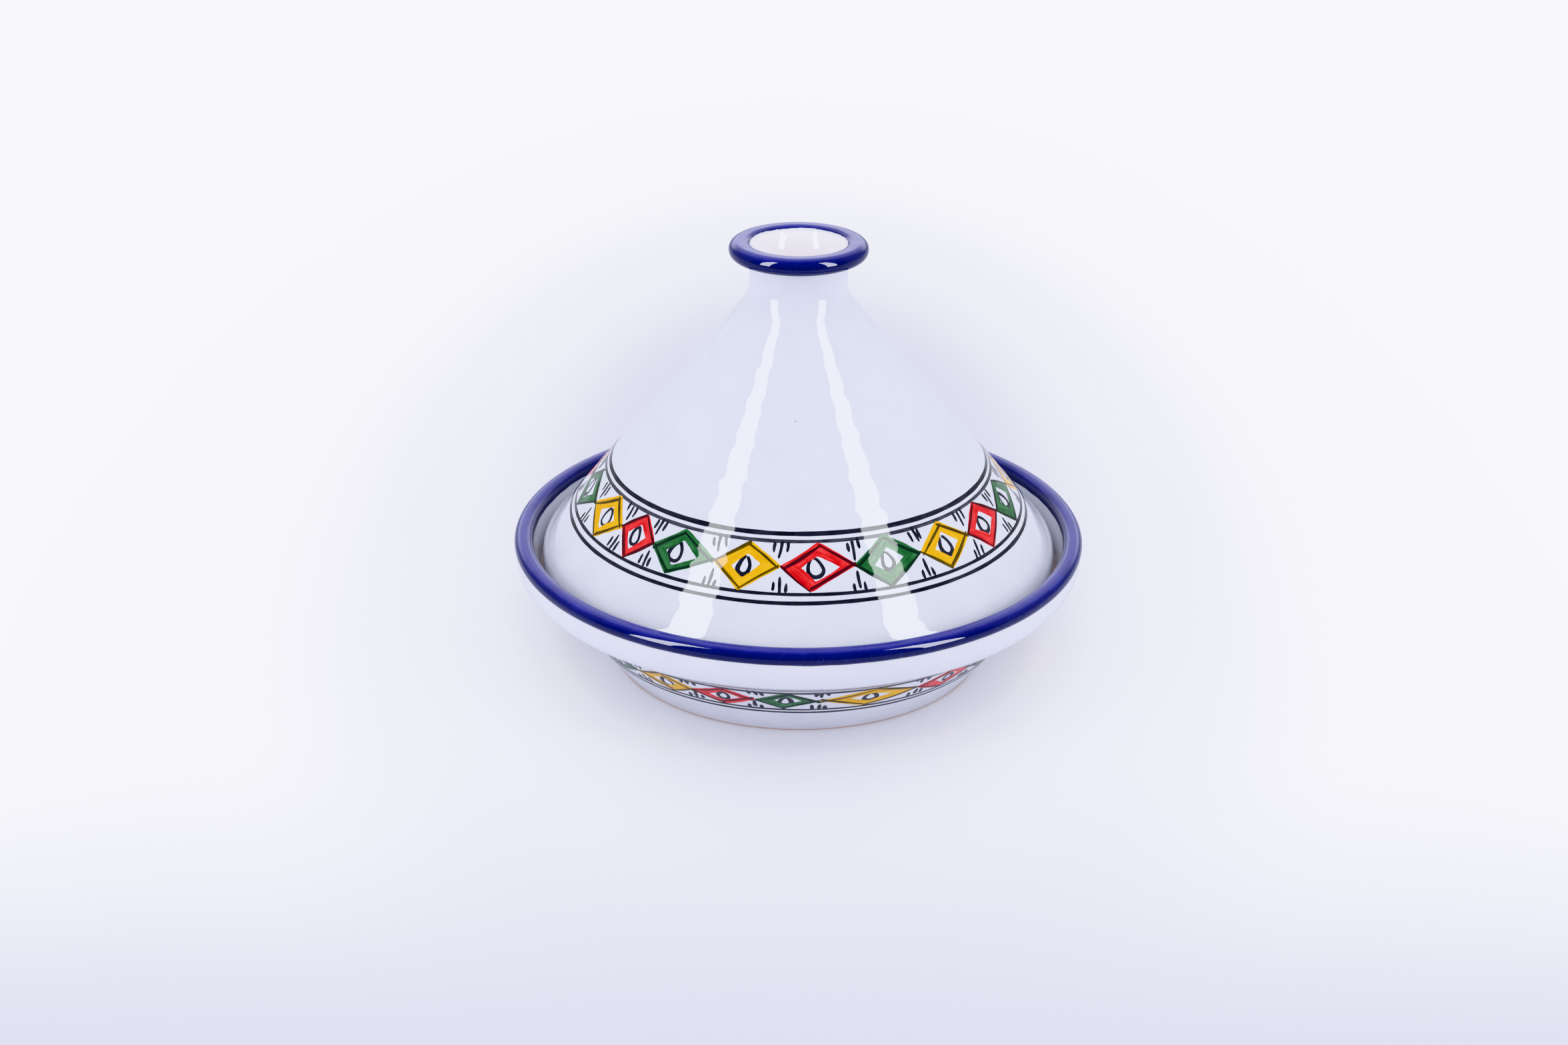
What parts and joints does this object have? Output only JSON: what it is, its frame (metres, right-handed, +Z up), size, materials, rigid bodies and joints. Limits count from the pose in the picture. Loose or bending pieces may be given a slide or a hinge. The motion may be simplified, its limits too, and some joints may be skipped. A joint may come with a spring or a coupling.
{
  "type": "tagine pot",
  "caption": "Round footed dish with a flared, rolled rim, and a tall conical lid that rests on a ledge inside the rim and lifts off by its ring-shaped knob.",
  "frame": {"origin": "centre of the foot's underside, on the table", "axes": "+Z up, along the axis that both pieces were turned about; X and Y across the dish"},
  "size_m": [0.28, 0.28, 0.2106],
  "materials": {
    "dish_glaze": "glossy white glaze over terracotta",
    "lid_glaze": "glossy white glaze over terracotta",
    "cobalt_glaze": "glossy cobalt blue glaze",
    "bare_clay": "matte unglazed terracotta",
    "black_line": "brushed black underglaze line, clear-glazed",
    "red_paint": "brushed red underglaze, clear-glazed",
    "yellow_paint": "brushed yellow underglaze, clear-glazed",
    "green_paint": "brushed green underglaze, clear-glazed"
  },
  "bodies": {
    "dish": {"dish": "dish_glaze"},
    "lid": {"lid": "lid_glaze"}
  },
  "joints": [
    {"name": "lid_lift", "type": "slide", "parent": "dish", "child": "lid", "axis": [0, 0, 1], "range_m": [0, 0.1]}
  ]
}
